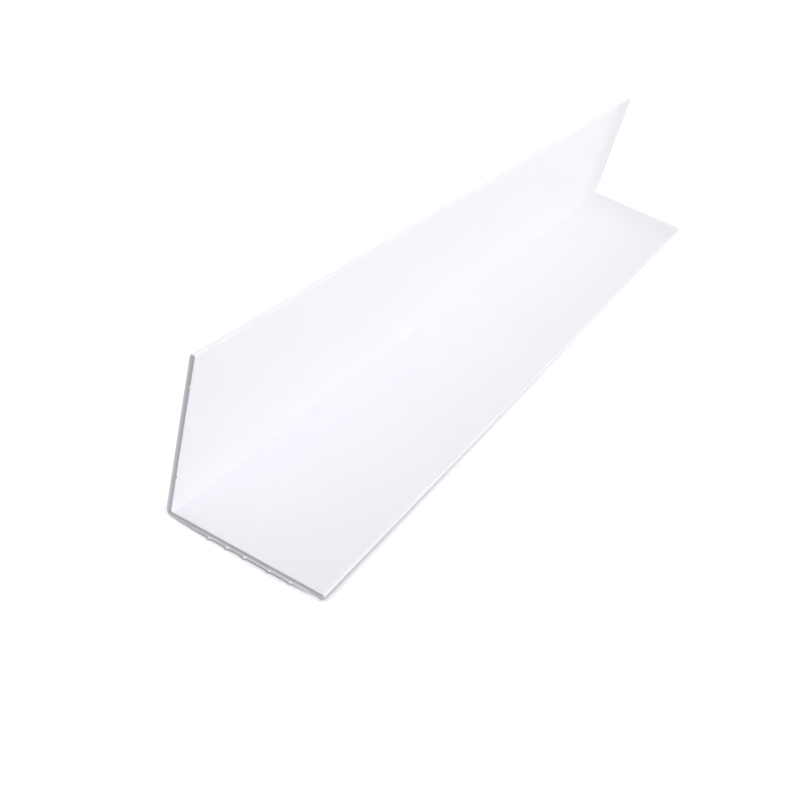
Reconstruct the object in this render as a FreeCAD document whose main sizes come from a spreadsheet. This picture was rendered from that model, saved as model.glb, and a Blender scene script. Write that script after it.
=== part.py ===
"""White plastic corner guard moulding: one extruded angle, cut square at both ends.

The angle lies on its flat leg. +X runs from the heel to the free edge of the flat leg, +Y runs
along the length and +Z up the upright leg. The origin is the middle of the footprint, on the
face that the angle rests on. All sizes are in millimetres.
"""
import FreeCAD
import Part
import math
import os
import Sketcher

SIZES = [
    ("upright_leg", 40.0, "height of the upright leg over the outside"),
    ("flat_leg", 40.0, "width of the flat leg over the outside"),
    ("wall", 1.2, "thickness of both legs and of the bend"),
    ("bend_radius", 0.4, "fillet in the inside of the bend"),
    ("edge_radius", 0.4, "easing of the four long edges at the free ends of the legs"),
    ("length", 300.0, "length between the two saw cuts"),
]

# The easing never takes more than this share of the wall, so that a flat always stays on the edge.
EASED_SHARE = 0.45

START = 1
END = 2
CENTRE = 3
ORIGIN = (-1, 1)
FLOOR_LINE = -1


def make_sheet(doc):
    """Put the sizes in a spreadsheet, one named cell each."""
    sheet = doc.addObject("Spreadsheet::Sheet", "Sizes")
    for row, (alias, value, meaning) in enumerate(SIZES, start=1):
        sheet.set(f"A{row}", alias)
        sheet.set(f"B{row}", str(value))
        sheet.set(f"C{row}", meaning)
        sheet.setAlias(f"B{row}", alias)
    doc.recompute()
    return sheet


def corner_arc(centre, radius, first_quarter):
    """Quarter circle that starts a number of quarter turns anticlockwise from +X."""
    quarter = math.pi / 2
    circle = Part.Circle(FreeCAD.Vector(*centre, 0), FreeCAD.Vector(0, 0, 1), radius)
    return Part.ArcOfCircle(circle, first_quarter * quarter, (first_quarter + 1) * quarter)


def straight(first, last):
    """Straight edge between two points of the section."""
    return Part.LineSegment(FreeCAD.Vector(*first, 0), FreeCAD.Vector(*last, 0))


def section_edges(sheet):
    """Edges of the L section in order, anticlockwise from the face on the floor."""
    left = -sheet.flat_leg / 2
    right = sheet.flat_leg / 2
    top = sheet.upright_leg
    wall = sheet.wall
    ease = min(sheet.edge_radius, EASED_SHARE * wall)
    heel = sheet.bend_radius + wall
    bend = (left + heel, heel)
    inner = left + wall
    return {
        "floor_face": straight((left + heel, 0), (right - ease, 0)),
        "flat_lower_edge": corner_arc((right - ease, ease), ease, 3),
        "flat_free_end": straight((right, ease), (right, wall - ease)),
        "flat_upper_edge": corner_arc((right - ease, wall - ease), ease, 0),
        "flat_inside": straight((right - ease, wall), (left + heel, wall)),
        "inner_fillet": corner_arc(bend, sheet.bend_radius, 2),
        "upright_inside": straight((inner, heel), (inner, top - ease)),
        "upright_inner_edge": corner_arc((inner - ease, top - ease), ease, 0),
        "upright_free_end": straight((inner - ease, top), (left + ease, top)),
        "upright_outer_edge": corner_arc((left + ease, top - ease), ease, 1),
        "upright_outside": straight((left, top - ease), (left, heel)),
        "outer_heel": corner_arc(bend, heel, 2),
    }


def join_edges(sketch, edges):
    """Make every edge run smoothly into the next one, all the way round.

    Arcs run anticlockwise. The fillet is the only hollow edge, so it is met at its far end.
    """
    names = list(edges)
    for place, name in enumerate(names):
        following = names[(place + 1) % len(names)]
        leaves = START if name == "inner_fillet" else END
        enters = END if following == "inner_fillet" else START
        tangent = Sketcher.Constraint("Tangent", edges[name], leaves, edges[following], enters)
        sketch.addConstraint(tangent)


def square_up(sketch, edges):
    """Lay the straight edges level or upright, share the easing and centre the bend."""
    for name in ("floor_face", "flat_inside", "upright_free_end"):
        sketch.addConstraint(Sketcher.Constraint("Horizontal", edges[name]))
    for name in ("flat_free_end", "upright_inside", "upright_outside"):
        sketch.addConstraint(Sketcher.Constraint("Vertical", edges[name]))
    for name in ("flat_upper_edge", "upright_inner_edge", "upright_outer_edge"):
        sketch.addConstraint(Sketcher.Constraint("Equal", edges["flat_lower_edge"], edges[name]))
    same_centre = (edges["inner_fillet"], CENTRE, edges["outer_heel"], CENTRE)
    sketch.addConstraint(Sketcher.Constraint("Coincident", *same_centre))
    on_floor = (edges["floor_face"], START, FLOOR_LINE)
    sketch.addConstraint(Sketcher.Constraint("PointOnObject", *on_floor))


def drive(sketch, name, constraint, expression):
    """Add a measured constraint and let the spreadsheet set its value."""
    number = sketch.addConstraint(constraint)
    sketch.renameConstraint(number, name)
    sketch.setExpression(f"Constraints.{name}", expression)


def size_section(sketch, edges, sheet):
    """Tie the section to the named sizes."""
    floor = edges["floor_face"]
    inside = edges["flat_inside"]
    left = edges["upright_outside"]
    right = edges["flat_free_end"]
    top = edges["upright_free_end"]
    easing = edges["flat_lower_edge"]
    fillet = edges["inner_fillet"]
    half = sheet.flat_leg / 2
    ease = min(sheet.edge_radius, EASED_SHARE * sheet.wall)
    to_left = Sketcher.Constraint("DistanceX", left, START, *ORIGIN, half)
    to_right = Sketcher.Constraint("DistanceX", *ORIGIN, right, START, half)
    to_top = Sketcher.Constraint("DistanceY", *ORIGIN, top, START, sheet.upright_leg)
    across = Sketcher.Constraint("DistanceY", floor, START, inside, END, sheet.wall)
    drive(sketch, "heel_side", to_left, "Sizes.flat_leg / 2")
    drive(sketch, "free_side", to_right, "Sizes.flat_leg / 2")
    drive(sketch, "leg_height", to_top, "Sizes.upright_leg")
    drive(sketch, "wall_thickness", across, "Sizes.wall")
    drive(sketch, "fillet_radius", Sketcher.Constraint("Radius", fillet, sheet.bend_radius),
          "Sizes.bend_radius")
    drive(sketch, "easing_radius", Sketcher.Constraint("Radius", easing, ease),
          f"min(Sizes.edge_radius; {EASED_SHARE} * Sizes.wall)")


def make_section(body, sheet):
    """Sketch the L section on the plane across the length."""
    sketch = body.newObject("Sketcher::SketchObject", "Section")
    across_length = [plane for plane in body.Origin.OriginFeatures if plane.Role == "XZ_Plane"]
    sketch.AttachmentSupport = (across_length[0], [""])
    sketch.MapMode = "FlatFace"
    shapes = section_edges(sheet)
    edges = {name: sketch.addGeometry(shape, False) for name, shape in shapes.items()}
    join_edges(sketch, edges)
    square_up(sketch, edges)
    size_section(sketch, edges, sheet)
    return sketch


def make_guard(doc, sheet):
    """Extrude the section to the same length on both sides of the middle."""
    body = doc.addObject("PartDesign::Body", "corner_guard")
    body.Label = "corner_guard"
    sketch = make_section(body, sheet)
    extrusion = body.newObject("PartDesign::Pad", "Extrusion")
    extrusion.Profile = sketch
    extrusion.SideType = "Symmetric"
    extrusion.setExpression("Length", "Sizes.length")
    doc.recompute()
    return body, sketch


def check(doc, body, sketch):
    """Stop if anything failed to build or if the section can still move."""
    for item in doc.Objects:
        if "Invalid" in item.State or "Error" in item.State:
            raise RuntimeError(f"{item.Name} did not build")
    if sketch.solve() != 0 or not sketch.FullyConstrained:
        raise RuntimeError("the section is not fully constrained")
    if body.Shape.isNull() or not body.Shape.isValid() or len(body.Shape.Solids) != 1:
        raise RuntimeError("the guard is not one sound solid")


document = FreeCAD.newDocument("corner_guard_moulding")
sizes = make_sheet(document)
guard, section = make_guard(document, sizes)
check(document, guard, section)
os.makedirs("parts", exist_ok=True)
guard.Shape.exportStep(f"parts/{guard.Label}.step")
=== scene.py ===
"""The looks of a white PVC corner guard moulding: an angle profile with two sawn ends.

All lengths are in metres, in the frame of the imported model: +X from the heel to the free edge of
the flat leg, +Y along the length and +Z up the upright leg. Shares run from 0 to 1.
"""
import math

import bmesh
import bpy
from mathutils import Euler, Matrix, Vector, noise


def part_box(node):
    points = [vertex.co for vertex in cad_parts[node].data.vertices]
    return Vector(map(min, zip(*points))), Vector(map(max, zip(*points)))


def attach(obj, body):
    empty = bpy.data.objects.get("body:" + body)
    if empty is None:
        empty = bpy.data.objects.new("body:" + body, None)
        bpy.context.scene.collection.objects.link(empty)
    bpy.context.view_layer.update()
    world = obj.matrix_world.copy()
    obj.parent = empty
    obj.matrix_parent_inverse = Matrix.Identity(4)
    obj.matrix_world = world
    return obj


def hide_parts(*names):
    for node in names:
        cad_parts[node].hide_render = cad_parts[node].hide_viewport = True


MM = 0.001

# The section, as in the solid.
WALL = 1.2 * MM
FILLET = 0.4 * MM
EASE = 0.4 * MM
HEEL = WALL + FILLET

# The mesh: ribs cross the wall at the shares in ACROSS, and rings go round the section, closer
# together beside a cut. The steps of an easing lie closer together towards the face of the leg.
RIB_STEP = 0.2 * MM
RING_STEP = 10 * MM
END_RINGS = (0.7 * MM, 1.6 * MM, 4 * MM)
EASE_STEPS = 5
EASE_SPREAD = 0.7
BEND_STEPS = 8
ACROSS = (0.0, 0.05, 0.13, 0.2, 0.27, 0.34, 0.42, 0.6, 0.8, 0.94, 1.0)
SHARP_DEGREES = 50
SAWN_SLOT = 1

# The saw cuts. Each lies back from the end of the solid, so that all that stands out of it stays
# inside. The saw's marks have a height, a distance from each other, a slant and a length.
NEAR_CUT = 1.15 * MM
FAR_CUT = 0.2 * MM
SAW_RIPPLE = 0.02 * MM
SAW_PITCH = 0.45 * MM
SAW_SLANT = 0.6
SAW_LENGTH = 20 * MM

# The broken edge round a cut: its size, then the mean, the spread and the length of its changes.
ARRIS = 0.045 * MM
ARRIS_MEAN = 0.8
ARRIS_SPREAD = 0.7
ARRIS_PITCH = MM / 1.7

# The burr along the lower edge of the near cut. It grows from the heel to the free edge, its
# section gives the shares of its length at the first places of ACROSS, and its run is in shares of
# the leg. The skew moves its middle towards the free edge, and the power makes its ends blunt.
BURR = (0.48 * MM, 0.68 * MM)
BURR_SECTION = (0.0, 0.3, 1.0, 0.9, 0.38, 0.06, 0.0)
BURR_RUN = (0.06, 0.925)
BURR_SKEW = 1.3
BURR_POWER = 0.2

# How ragged the burr is: the mean, the least, and waves as (number along the leg, size, seed).
RAGGED = 1.1
RAGGED_LEAST = 0.1
RAGGED_WAVES = ((60, 0.4, 0.5), (190, 0.3, 2.5))

# Painted shade on the burr, standing in for the shadow under it: full where the burr is longer than
# this. The powers say how it goes with the burr's section and how late it fades towards the free edge.
BURR_SHADE_FULL = BURR[0] / 2
BURR_SHADE_POWER = 0.5
BURR_SHADE_FADE = 3

# Loose chips in the burr: places and width in shares of the leg, how far out and up they stand.
CHIP_PLACES = (0.29, 0.405, 0.515, 0.67, 0.8)
CHIP_WIDTH = 0.013
CHIP = 1.02 * MM
CHIP_RISE = 0.22 * MM

# Two marks on the inner edge of the upright cut: a nick in it and a nub that stands out of it.
NICK_HEIGHT = 32.9 * MM
NICK = 0.3 * MM
NUB_HEIGHT = 10.6 * MM
NUB = 0.32 * MM
MARK_WIDTH = 0.45 * MM

# The legs are not perfectly straight: the flat one lifts at the near corner, the upright one sways.
LIFT = 0.06 * MM
LIFT_RUN = 0.5
LEAN = 0.15 * MM
WAVE = 170 * MM

# How detailed the noise in the materials is.
SOFT = 2.0
FINE = 3.0

# The smooth skin: two tones in soft patches, fine lines from the die and a faint peel.
PVC_TONES = ((0.862, 0.860, 0.898, 1), (0.886, 0.884, 0.918, 1))
TONE_PATCH = 45 * MM
DIE_LINE = (0.9 * MM, 140 * MM, 0.9 * MM)
DIE_LINE_DEPTH = 0.004 * MM
DIE_LINE_GRAIN = 0.6
PEEL = 0.5 * MM
PEEL_DEPTH = 0.0015 * MM
SKIN_ROUGHNESS = (0.34, 0.46)
PVC_IOR = 1.53

# A few cells hold a speck, of a size given as a share of the cell, and there is one larger mote.
SPECK_COLOUR = (0.62, 0.6, 0.6, 1)
SPECK_CELL = 7 * MM
SPECK_SIZE = 0.022
SPECK_PICK = 0.72
MOTE = (-18.8 * MM, -121.9 * MM, 33.1 * MM)
MOTE_SIZE = 0.3 * MM
MOTE_STRENGTH = 0.35

# Painted shade in the bend: grey along the foot of the upright leg, less far out along the flat one.
BEND_SHADE_RUN = (0.2 * MM, 0.6 * MM)
BEND_SHADE_LEAN = 2.0
BEND_SHADE_DEPTH = 0.075
BEND_SHADE_COLOUR = (0.2, 0.2, 0.2, 1)

# Painted shade at the far end, grey in patches: from nothing to fully over these distances from it,
# and less so low down.
FAR_SHADE_REACH = (30 * MM, 5 * MM)
FAR_SHADE_HEIGHT = (1 * MM, 9 * MM)
FAR_SHADE_LOW = 0.35
FAR_SHADE_PATCH = 14 * MM
FAR_SHADE_GRAIN = (0.3, 0.6)
FAR_SHADE_LEAST = 0.55
FAR_SHADE_COLOUR = (0.77, 0.775, 0.8, 1)

# The sawn face: scored by the teeth, grey inside the wall and paler towards its outside.
SCORE = (0.07 * MM, 0.4 * MM, 3 * MM)
SCORE_DEGREES = 31
SCORE_GRAIN = 0.7
SCORE_DEPTH = 0.02 * MM
SAWN_GRAIN = 0.12 * MM
SAWN_GRAIN_DEPTH = 0.015 * MM
SAWN_ROUGHNESS = (0.55, 0.8)
SAWN_GREY = (0.665, 0.635, 0.7, 1)
SAWN_WHITE = (0.955, 0.93, 0.985, 1)
# The grey of the painted shade on the burr.
BURR_SHADE_COLOUR = (0.76, 0.745, 0.79, 1)
PALE_OUTSIDE_DEPTH = (0.35 * WALL, 1.1 * WALL)
PALE_OUTSIDE_SPREAD = 0.4 * WALL

# Painted light: the lying leg's cut is paler towards its free end, at these distances from the heel.
PAINTED_LIGHT_RUN = (24 * MM, 38 * MM)
PAINTED_LIGHT_DEPTH = 0.15 * WALL

# The camera, fitted to the corners of the legs in a square image. Its angles are in degrees, its
# sensor is in millimetres, and the centre of the lens lies some pixels below that of the image.
IMAGE_SIDE = 800
EYE = (0.0770, -0.3089, 0.1509)
AZIMUTH = 15.38
ELEVATION = 38.41
ROLL = 18.42
FOCAL_PIXELS = 1089.7
CENTRE_BELOW = 160
SENSOR = 36
CLIP_START = 0.01

# The floor: grey for the light that it throws back, and lit by the lamps as the camera sees it. Over
# these distances from the middle it turns plain white.
FLOOR_SIDE = 8.0
FLOOR_GREY = (0.7, 0.7, 0.7, 1)
FLOOR_LIT = (0.472, 0.463, 0.485, 1)
WHITE = (1, 1, 1, 1)
PLAIN_WHITE = (0.4, 0.75)

# The floor's own lift, which fades within the contact distance of the moulding and so paints a
# contact shadow there. The range is the share of open sky over which it comes back.
FLOOR_LIFT = 0.7
LIFT_COLOUR = (0.99, 0.985, 1, 1)
CONTACT = 4.2 * MM
SKY_RANGE = (0.25, 0.99)
SKY_SAMPLES = 8

# The painted contact shadow: what is left of the lift right beside the moulding, and the power with
# which it comes back, beyond the free edge, in front of the near end and at the heel. Runs are places
# in X, the last one in Y.
LEE_SIDE = (18.5 * MM, 19.8 * MM)
LEE_FALL = 2.0
FRONT_SIDE = (8 * MM, 19 * MM)
FRONT_LIFT = (0.04, 0.4)
FRONT_FALL = (1.2, 3.6)
FALL_SIDE = (-19 * MM, 17 * MM)
HEEL_SIDE = (-19 * MM, -11 * MM)
HEEL_LIFT = 0.4
SHADOW_RUN = (-150 * MM, 125 * MM)

# The surround, brighter behind and above the moulding than in front of it.
TENT = (0.25, 0.407)
TENT_COLOUR = (0.982, 0.974, 1.0, 1)
TENT_WAY = (0, 1, 1)
TENT_TURN = (-0.9, 0.2)

# Soft boxes that all point at one place: name, place, side, watts and colour.
AIM = (0, 0, 0.02)
LAMPS = (
    ("side", (0.85, 0.05, 0.55), 0.5, 5.4, (1.0, 0.957, 0.977)),
    ("top", (0.12, -0.05, 0.75), 0.9, 2.22, (0.885, 1.0, 0.95)),
    ("back", (-0.9, 0.1, 0.4), 0.5, 4.6, (1.0, 1.0, 1.0)),
)


class Graph:
    """Short hand for adding nodes to a node tree."""

    def __init__(self, tree):
        self.tree = tree
        tree.nodes.clear()

    def add(self, kind, inputs=None, **settings):
        """Add one node, with values or links on its inputs."""
        made = self.tree.nodes.new("ShaderNode" + kind)
        for name, value in settings.items():
            setattr(made, name, value)
        for name, value in (inputs or {}).items():
            if isinstance(value, bpy.types.NodeSocket):
                self.tree.links.new(value, made.inputs[name])
            else:
                made.inputs[name].default_value = value
        return made

    def math(self, operation, *values):
        """Result of one step of arithmetic."""
        return self.add("Math", dict(enumerate(values)), operation=operation).outputs[0]

    def ramp(self, value, run, ends=(0.0, 1.0), smooth=False):
        """Go from the first end to the last while a value passes through a run."""
        inputs = {"Value": value, "From Min": run[0], "From Max": run[1],
                  "To Min": ends[0], "To Max": ends[1]}
        interpolation = "SMOOTHSTEP" if smooth else "LINEAR"
        return self.add("MapRange", inputs, interpolation_type=interpolation).outputs["Result"]

    def mix(self, factor, first, second):
        """Blend of two colours."""
        inputs = {"Factor": factor, "A": first, "B": second}
        return self.add("Mix", inputs, data_type="RGBA").outputs["Result"]

    def place(self):
        """Place on the object."""
        return self.add("TexCoord").outputs["Object"]

    def away_from(self, place, origin):
        """The X, Y and Z of a place as seen from an origin."""
        offset = self.add("VectorMath", {0: place, 1: origin}, operation="SUBTRACT")
        return self.add("SeparateXYZ", {"Vector": offset.outputs["Vector"]}).outputs

    def stretched(self, place, lengths):
        """A place in units of three lengths."""
        scale = tuple(1 / length for length in lengths)
        return self.add("Mapping", {"Vector": place, "Scale": scale}).outputs["Vector"]

    def grain(self, place, size, detail, roughness=0.5):
        """Noise with patches of a size."""
        inputs = {"Vector": place, "Scale": 1 / size, "Detail": detail, "Roughness": roughness}
        return self.add("TexNoise", inputs).outputs["Fac"]

    def bump(self, height, depth, normal=None):
        """Relief of a depth, over another relief if there is one."""
        inputs = {"Height": height, "Strength": 1.0, "Distance": depth}
        if normal is not None:
            inputs["Normal"] = normal
        return self.add("Bump", inputs).outputs["Normal"]

    def blend(self, factor, first, second):
        """Blend of two shaders."""
        return self.add("MixShader", {0: factor, 1: first, 2: second}).outputs[0]


def new_material(name):
    """An empty node material and its graph."""
    material = bpy.data.materials.new(name)
    material.use_nodes = True
    return material, Graph(material.node_tree)


def between(ends, share):
    """Value at a share of the way between two ends."""
    return ends[0] + (ends[1] - ends[0]) * share


def spread(low, high, step):
    """Even places from low to high, both ends included, about a step apart."""
    count = max(1, round((high - low) / step))
    return [low + (high - low) * i / count for i in range(count + 1)]


def leg_ribs(leg):
    """Ribs across one leg, from the free edge to the bend, as (along, outside, inside)."""
    ribs = []
    for step in range(EASE_STEPS):
        turn = (step / EASE_STEPS) ** EASE_SPREAD * math.pi / 2
        half = WALL / 2 - EASE + EASE * math.sin(turn)
        ribs.append((leg - EASE * (1 - math.cos(turn)), WALL / 2 - half, WALL / 2 + half))
    for along in reversed(spread(HEEL, leg - EASE, RIB_STEP)):
        ribs.append((along, 0.0, WALL))
    return ribs


def section_ribs(low, high):
    """Ribs round the section as pairs of (x, z): outside and inside of the wall."""
    flat = [((low.x + along, low.z + outside), (low.x + along, low.z + inside))
            for along, outside, inside in leg_ribs(high.x - low.x)]
    upright = [((low.x + outside, low.z + along), (low.x + inside, low.z + along))
               for along, outside, inside in reversed(leg_ribs(high.z - low.z))]
    bend = []
    for step in range(1, BEND_STEPS):
        turn = math.radians(270 - 90 * step / BEND_STEPS)
        way = (math.cos(turn), math.sin(turn))
        bend.append(tuple((low.x + HEEL + radius * way[0], low.z + HEEL + radius * way[1])
                          for radius in (HEEL, FILLET)))
    return flat + bend + upright


def section_outline(ribs):
    """The (rib, share of the wall) of each point round the section, anticlockwise."""
    last = len(ribs) - 1
    inside = [(rib, 1.0) for rib in range(last + 1)]
    top = [(last, share) for share in reversed(ACROSS[1:-1])]
    outside = [(rib, 0.0) for rib in range(last, -1, -1)]
    tip = [(0, share) for share in ACROSS[1:-1]]
    return inside + top + outside + tip


def across_wall(rib, share):
    """Point on a rib, from the outside of the wall at 0 to the inside at 1."""
    (x0, z0), (x1, z1) = rib
    return between((x0, x1), share), between((z0, z1), share)


def outward_normals(points):
    """Outward direction at each point of an anticlockwise outline."""
    normals = []
    for i, _ in enumerate(points):
        before = Vector(points[i - 1])
        after = Vector(points[(i + 1) % len(points)])
        tangent = (after - before).normalized()
        normals.append((tangent.y, -tangent.x))
    return normals


def hump(offset, width):
    """Smooth bump of height 1 that ends at a width on either side."""
    t = min(1.0, abs(offset) / width)
    return (1 - t * t) ** 2


def chip(share):
    """How much of a loose chip there is at a share of the flat leg from the heel."""
    return max(hump(share - place, CHIP_WIDTH) for place in CHIP_PLACES)


def burr(share):
    """How far the burr stands out of the near cut, at a share of the flat leg from the heel."""
    first, last = BURR_RUN
    run = (share - first) / (last - first)
    if not 0 < run < 1:
        return 0.0
    bow = math.sin(math.pi * run ** BURR_SKEW) ** BURR_POWER
    ragged = RAGGED
    for count, size, seed in RAGGED_WAVES:
        ragged += size * noise.noise((share * count, seed, 0))
    plain = between(BURR, share) * min(1.0, bow * max(RAGGED_LEAST, ragged))
    return between((plain, CHIP), chip(share))


def burr_shade_share(share):
    """How much painted shade the burr takes at a share of the flat leg. Its chips take none."""
    return min(1.0, burr(share) / BURR_SHADE_FULL) * (1 - share ** BURR_SHADE_FADE) * (1 - chip(share))


def arris_size(x, z, seed):
    """Size of the broken edge round a saw cut, which differs from place to place."""
    return ARRIS * (ARRIS_MEAN + ARRIS_SPREAD * noise.noise((x / ARRIS_PITCH, z / ARRIS_PITCH, seed)))


def saw_ripple(x, z, seed):
    """Height of the saw's marks on the cut, which run slanting across the wall."""
    slanted = (x + SAW_SLANT * z) / SAW_PITCH
    return SAW_RIPPLE * noise.noise((slanted, seed, (x - z) / SAW_LENGTH))


def warp(point, low, high):
    """Lift the free edge of the flat leg and lean the upright one, by a hair."""
    x, y, z = point
    flat = max(0.0, (x - low.x - HEEL) / (high.x - low.x - HEEL))
    upright = max(0.0, (z - low.z - HEEL) / (high.z - low.z - HEEL))
    lifted = hump((y - low.y) / (high.y - low.y), LIFT_RUN)
    leaning = 0.5 + 0.5 * math.sin(2 * math.pi * y / WAVE)
    return x + LEAN * upright ** 2 * leaning, y, z + LIFT * flat * lifted


def inner_mark(x, z, height, low):
    """Share of a mark at a height on the inner edge of the upright leg, 1 in its middle."""
    on_edge = abs(x - low.x - WALL) < EASE / 2
    return hump(z - low.z - height, MARK_WIDTH) if on_edge else 0.0


def add_ring(mesh, outline, places, y):
    """One ring of points round the section."""
    return {key: mesh.verts.new((x, y, z)) for key, (x, z) in zip(outline, places)}


def add_end_rings(mesh, outline, full, cut, inward, low):
    """The rings beside a saw cut: the broken edge, then the full section behind it."""
    sizes = [arris_size(x, z, cut) for x, z in full]
    insets = list(sizes)
    if inward > 0:
        nicks = [NICK * inner_mark(x, z, NICK_HEIGHT, low) for x, z in full]
        nubs = [NUB * inner_mark(x, z, NUB_HEIGHT, low) for x, z in full]
        insets = [size + nick - nub for size, nick, nub in zip(sizes, nicks, nubs)]
        sizes = [size + nick + nub for size, nick, nub in zip(sizes, nicks, nubs)]
    normals = outward_normals(full)
    inset = [(x - nx * size, z - nz * size) for (x, z), (nx, nz), size in zip(full, normals, insets)]
    edge = add_ring(mesh, outline, inset, cut)
    behind = add_ring(mesh, outline, full, cut)
    for vertex, size in zip(behind.values(), sizes):
        vertex.co.y += inward * size
    rest = [add_ring(mesh, outline, full, cut + inward * place) for place in END_RINGS]
    return [edge, behind] + rest


def join_rings(mesh, first, second, outline):
    """Quads between two rings."""
    for i, key in enumerate(outline):
        following = outline[(i + 1) % len(outline)]
        mesh.faces.new((first[key], first[following], second[following], second[key]))


def add_cut_row(mesh, edge, number, cut):
    """One row of points across the wall on a sawn face, with the points of its edge at both ends."""
    ends = [(edge[(number, share)].co.x, edge[(number, share)].co.z) for share in (0.0, 1.0)]
    row = []
    for share in ACROSS:
        vertex = edge.get((number, share))
        if vertex is None:
            x, z = across_wall(ends, share)
            vertex = mesh.verts.new((x, cut + saw_ripple(x, z, cut), z))
        row.append(vertex)
    return row


def raise_burr(mesh, row, share):
    """Pull the lower points of a row out into the burr, and note how much painted shade they take."""
    burr_shade = mesh.verts.layers.float["burr_shade"]
    out = burr(share)
    up = CHIP_RISE * chip(share)
    darker = burr_shade_share(share)
    for vertex, part in zip(row, BURR_SECTION):
        vertex.co.y -= out * part
        vertex.co.z += up * part
        vertex[burr_shade] = darker * part ** BURR_SHADE_POWER


def add_cut(mesh, count, edge, cut):
    """A sawn face: rows of points across the wall, one for each rib, and the quads between them."""
    rows = [add_cut_row(mesh, edge, number, cut) for number in range(count)]
    for here, following in zip(rows, rows[1:]):
        for i in range(len(ACROSS) - 1):
            corners = (here[i], here[i + 1], following[i + 1], following[i])
            mesh.faces.new(corners).material_index = SAWN_SLOT
    return rows


def build_profile(low, high):
    """The whole moulding as one closed mesh, with its skin in the first slot and its cuts in the next."""
    mesh = bmesh.new()
    mesh.verts.layers.float.new("burr_shade")
    ribs = section_ribs(low, high)
    outline = section_outline(ribs)
    full = [across_wall(ribs[rib], share) for rib, share in outline]
    near = low.y + NEAR_CUT
    far = high.y - FAR_CUT
    first = add_end_rings(mesh, outline, full, near, 1, low)
    last = add_end_rings(mesh, outline, full, far, -1, low)
    stations = spread(near + END_RINGS[-1], far - END_RINGS[-1], RING_STEP)[1:-1]
    middle = [add_ring(mesh, outline, full, y) for y in stations]
    rings = first + middle + list(reversed(last))
    for here, following in zip(rings, rings[1:]):
        join_rings(mesh, here, following, outline)
    for row in add_cut(mesh, len(ribs), first[0], near):
        if row[0].co.z < low.z + EASE:
            raise_burr(mesh, row, (row[0].co.x - low.x) / (high.x - low.x))
    add_cut(mesh, len(ribs), last[0], far)
    for vertex in mesh.verts:
        vertex.co = warp(vertex.co, low, high)
    bmesh.ops.recalc_face_normals(mesh, faces=mesh.faces)
    if mesh.calc_volume(signed=True) < 0:
        bmesh.ops.reverse_faces(mesh, faces=mesh.faces)
    data = bpy.data.meshes.new("angle_profile")
    mesh.to_mesh(data)
    mesh.free()
    data.shade_smooth()
    data.set_sharp_from_angle(angle=math.radians(SHARP_DEGREES))
    piece = bpy.data.objects.new("angle_profile", data)
    bpy.context.collection.objects.link(piece)
    return piece


def finish_pvc(graph, colour, roughness, normal):
    """Give a material its shader."""
    inputs = {"Base Color": colour, "Roughness": roughness, "IOR": PVC_IOR, "Normal": normal}
    shader = graph.add("BsdfPrincipled", inputs).outputs["BSDF"]
    graph.add("OutputMaterial", {"Surface": shader})


def specks(graph, place):
    """How much of a speck there is: a few scattered ones and the mote."""
    cells = graph.add("TexVoronoi", {"Vector": place, "Scale": 1 / SPECK_CELL}, feature="F1").outputs
    dot = graph.math("LESS_THAN", cells["Distance"], SPECK_SIZE)
    pick = graph.add("SeparateColor", {"Color": cells["Color"]}).outputs["Red"]
    chosen = graph.math("GREATER_THAN", pick, SPECK_PICK)
    scattered = graph.math("MULTIPLY", dot, chosen)
    to_mote = graph.add("VectorMath", {0: place, 1: MOTE}, operation="DISTANCE").outputs["Value"]
    mote = graph.ramp(to_mote, (MOTE_SIZE / 2, MOTE_SIZE), (MOTE_STRENGTH, 0.0))
    return graph.math("MAXIMUM", scattered, mote)


def painted_bend_shade(graph, from_bend):
    """How much painted shade the bend takes: most along the foot of the upright leg."""
    out = graph.math("MULTIPLY", from_bend["X"], BEND_SHADE_LEAN)
    farther = graph.math("MAXIMUM", out, from_bend["Z"])
    return graph.ramp(farther, BEND_SHADE_RUN, (BEND_SHADE_DEPTH, 0.0), smooth=True)


def painted_far_end_shade(graph, place, from_bend, end):
    """How much painted shade the skin takes: towards the far end, in patches and less low down."""
    close = graph.ramp(from_bend["Y"], (end - FAR_SHADE_REACH[0], end - FAR_SHADE_REACH[1]), smooth=True)
    higher = graph.ramp(from_bend["Z"], FAR_SHADE_HEIGHT, (FAR_SHADE_LOW, 1.0), smooth=True)
    patches = graph.grain(place, FAR_SHADE_PATCH, FINE)
    shade_in_patches = graph.ramp(patches, FAR_SHADE_GRAIN, (FAR_SHADE_LEAST, 1.0))
    patchy = graph.math("MULTIPLY", close, shade_in_patches)
    return graph.math("MULTIPLY", patchy, higher)


def white_pvc(low, high):
    """Smooth extruded PVC: near white and satin, with faint die lines, specks, and painted shade in the
    bend and in patches at the far end.
    """
    material, graph = new_material("white_pvc")
    place = graph.place()
    from_bend = graph.away_from(place, (low.x + WALL, 0, low.z + WALL))
    tone = graph.mix(graph.grain(place, TONE_PATCH, SOFT), *PVC_TONES)
    speckled = graph.mix(specks(graph, place), tone, SPECK_COLOUR)
    # Painted shade: the bend is greyed a little.
    bend_shaded = graph.mix(painted_bend_shade(graph, from_bend), speckled, BEND_SHADE_COLOUR)
    # Painted shade: the far end is greyed in patches, less low down.
    far_end_shaded = graph.mix(painted_far_end_shade(graph, place, from_bend, high.y), bend_shaded, FAR_SHADE_COLOUR)
    lines = graph.grain(graph.stretched(place, DIE_LINE), 1.0, FINE, DIE_LINE_GRAIN)
    ribbed = graph.bump(lines, DIE_LINE_DEPTH)
    bumpy = graph.bump(graph.grain(place, PEEL, SOFT), PEEL_DEPTH, ribbed)
    roughness = graph.ramp(lines, (0.0, 1.0), SKIN_ROUGHNESS)
    finish_pvc(graph, far_end_shaded, roughness, bumpy)
    return material


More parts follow.
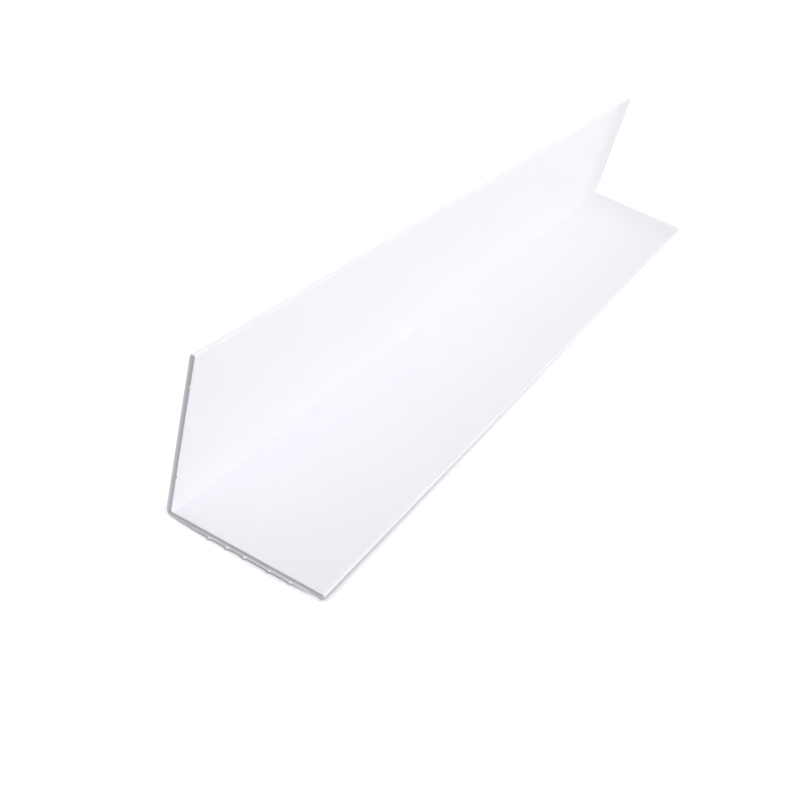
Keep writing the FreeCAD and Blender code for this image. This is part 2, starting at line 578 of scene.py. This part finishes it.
def pale_outside_share(graph, place, marks, low):
    """How pale the sawn wall is: most at its outside, less inwards, uneven as its marks are."""
    from_heel = graph.away_from(place, tuple(low))
    inward = graph.math("MINIMUM", from_heel["X"], from_heel["Z"])
    uneven = graph.math("MULTIPLY_ADD", marks, PALE_OUTSIDE_SPREAD, inward)
    # Painted light: the cut of the lying leg is paler towards its free end.
    painted_light = graph.ramp(from_heel["X"], PAINTED_LIGHT_RUN, (0.0, PAINTED_LIGHT_DEPTH))
    outer = graph.math("SUBTRACT", uneven, painted_light)
    return graph.ramp(outer, PALE_OUTSIDE_DEPTH, (1.0, 0.0), smooth=True)


def sawn_pvc(low):
    """The same PVC where sawn: matte, scored by the teeth, grey inside, paler outside, painted shade on
    the burr.
    """
    material, graph = new_material("sawn_pvc")
    place = graph.place()
    turn = (0, math.radians(SCORE_DEGREES), 0)
    turned = graph.add("Mapping", {"Vector": place, "Rotation": turn}).outputs["Vector"]
    marks = graph.grain(graph.stretched(turned, SCORE), 1.0, FINE, SCORE_GRAIN)
    grain = graph.grain(place, SAWN_GRAIN, FINE)
    sawn = graph.mix(pale_outside_share(graph, place, marks, low), SAWN_GREY, SAWN_WHITE)
    # Painted shade on the burr, read from the mesh.
    burr_shade = graph.add("Attribute", attribute_name="burr_shade").outputs["Fac"]
    colour = graph.mix(burr_shade, sawn, BURR_SHADE_COLOUR)
    scratched = graph.bump(marks, SCORE_DEPTH)
    grainy = graph.bump(grain, SAWN_GRAIN_DEPTH, scratched)
    roughness = graph.ramp(grain, (0.0, 1.0), SAWN_ROUGHNESS)
    finish_pvc(graph, colour, roughness, grainy)
    return material


def showing_rays(graph):
    """Two switches for rays that show the background: from the camera, and off gloss or through glass."""
    path = graph.add("LightPath").outputs
    mirrored = graph.math("MAXIMUM", path["Is Glossy Ray"], path["Is Transmission Ray"])
    return path["Is Camera Ray"], mirrored


def floor_lift(graph, place):
    """Strength of the floor's own lift, full in the open and less where the moulding is close: a painted
    contact shadow.
    """
    side = graph.add("SeparateXYZ", {"Vector": place}).outputs
    front = graph.ramp(side["X"], FRONT_SIDE, FRONT_LIFT, smooth=True)
    heel = graph.ramp(side["X"], HEEL_SIDE, (HEEL_LIFT, 0.0))
    near_end = graph.math("MAXIMUM", front, heel)
    free_edge = graph.ramp(side["Y"], SHADOW_RUN, (0.0, FLOOR_LIFT))
    least = graph.ramp(side["X"], LEE_SIDE, (near_end, free_edge), smooth=True)
    front_fall = graph.ramp(side["X"], FALL_SIDE, FRONT_FALL)
    fall = graph.ramp(side["X"], LEE_SIDE, (front_fall, LEE_FALL))
    sky = graph.add("AmbientOcclusion", {"Distance": CONTACT}, samples=SKY_SAMPLES).outputs["AO"]
    eased = graph.math("POWER", graph.ramp(sky, SKY_RANGE), fall)
    return graph.ramp(eased, (0.0, 1.0), (least, FLOOR_LIFT))


def white_floor():
    """A floor that shows as white, takes the moulding's real shadow in its lit part, and has a painted
    contact shadow in its lift.
    """
    material, graph = new_material("white_floor")
    camera, mirrored = showing_rays(graph)
    place = graph.place()
    darker = graph.add("BsdfDiffuse", {"Color": FLOOR_GREY}).outputs[0]
    white = graph.add("Emission", {"Color": WHITE, "Strength": 1.0}).outputs[0]
    lit = graph.add("BsdfDiffuse", {"Color": FLOOR_LIT}).outputs[0]
    lift = graph.add("Emission", {"Color": LIFT_COLOUR, "Strength": floor_lift(graph, place)}).outputs[0]
    shaded = graph.add("AddShader", {0: lit, 1: lift}).outputs[0]
    reach = graph.add("VectorMath", {0: place}, operation="LENGTH").outputs["Value"]
    away = graph.ramp(reach, PLAIN_WHITE, smooth=True)
    seen = graph.blend(away, shaded, white)
    unseen = graph.blend(mirrored, darker, white)
    graph.add("OutputMaterial", {"Surface": graph.blend(camera, unseen, seen)})
    return material


def add_floor():
    """The floor, a square that isn't part of the moulding."""
    mesh = bmesh.new()
    bmesh.ops.create_grid(mesh, x_segments=1, y_segments=1, size=FLOOR_SIDE / 2)
    data = bpy.data.meshes.new("floor")
    mesh.to_mesh(data)
    mesh.free()
    data.materials.append(white_floor())
    floor = bpy.data.objects.new("floor", data)
    bpy.context.collection.objects.link(floor)


def light_tent():
    """A white surround, dimmer low on the viewer's side, and dimmer as a light than it looks."""
    world = bpy.data.worlds.new("light_tent")
    world.use_nodes = True
    bpy.context.scene.world = world
    graph = Graph(world.node_tree)
    shown = graph.math("MAXIMUM", *showing_rays(graph))
    way = graph.add("TexCoord").outputs["Generated"]
    backward = graph.add("VectorMath", {0: way, 1: TENT_WAY}, operation="DOT_PRODUCT").outputs["Value"]
    glow = graph.ramp(backward, TENT_TURN, TENT, smooth=True)
    tent = graph.add("Background", {"Color": TENT_COLOUR, "Strength": glow}).outputs[0]
    white = graph.add("Background", {"Color": WHITE, "Strength": 1.0}).outputs[0]
    graph.add("OutputWorld", {"Surface": graph.blend(shown, tent, white)})


def add_lamp(name, place, side, watts, colour):
    """A square soft box that points at the moulding."""
    lamp = bpy.data.lights.new(name, "AREA")
    lamp.shape = "SQUARE"
    lamp.size = side
    lamp.energy = watts
    lamp.color = colour
    holder = bpy.data.objects.new(name, lamp)
    holder.location = place
    holder.rotation_euler = (Vector(AIM) - Vector(place)).to_track_quat("-Z", "Y").to_euler()
    bpy.context.collection.objects.link(holder)


def add_camera():
    """The camera where the photograph was taken from."""
    camera = bpy.data.cameras.new("camera")
    camera.sensor_width = SENSOR
    camera.lens = FOCAL_PIXELS / IMAGE_SIDE * SENSOR
    camera.shift_y = CENTRE_BELOW / IMAGE_SIDE
    camera.clip_start = CLIP_START
    holder = bpy.data.objects.new("camera", camera)
    aim = Euler((math.radians(90 - ELEVATION), 0, math.radians(AZIMUTH))).to_matrix()
    turn = Matrix.Rotation(math.radians(ROLL), 3, "Z")
    holder.matrix_world = Matrix.Translation(EYE) @ (aim @ turn).to_4x4()
    bpy.context.collection.objects.link(holder)
    bpy.context.scene.camera = holder


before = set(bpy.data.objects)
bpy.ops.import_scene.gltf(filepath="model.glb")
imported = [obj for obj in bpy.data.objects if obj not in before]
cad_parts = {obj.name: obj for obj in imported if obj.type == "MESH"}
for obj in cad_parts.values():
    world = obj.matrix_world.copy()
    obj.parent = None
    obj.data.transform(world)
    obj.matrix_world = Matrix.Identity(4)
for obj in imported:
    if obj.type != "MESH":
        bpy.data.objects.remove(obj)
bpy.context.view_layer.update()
guard_low, guard_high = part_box("corner_guard")

moulding = build_profile(guard_low, guard_high)
moulding.data.materials.append(white_pvc(guard_low, guard_high))
moulding.data.materials.append(sawn_pvc(guard_low))
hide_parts("corner_guard")
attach(moulding, "root")

add_floor()
light_tent()
for soft_box in LAMPS:
    add_lamp(*soft_box)
add_camera()
bpy.context.scene.view_settings.view_transform = "Standard"
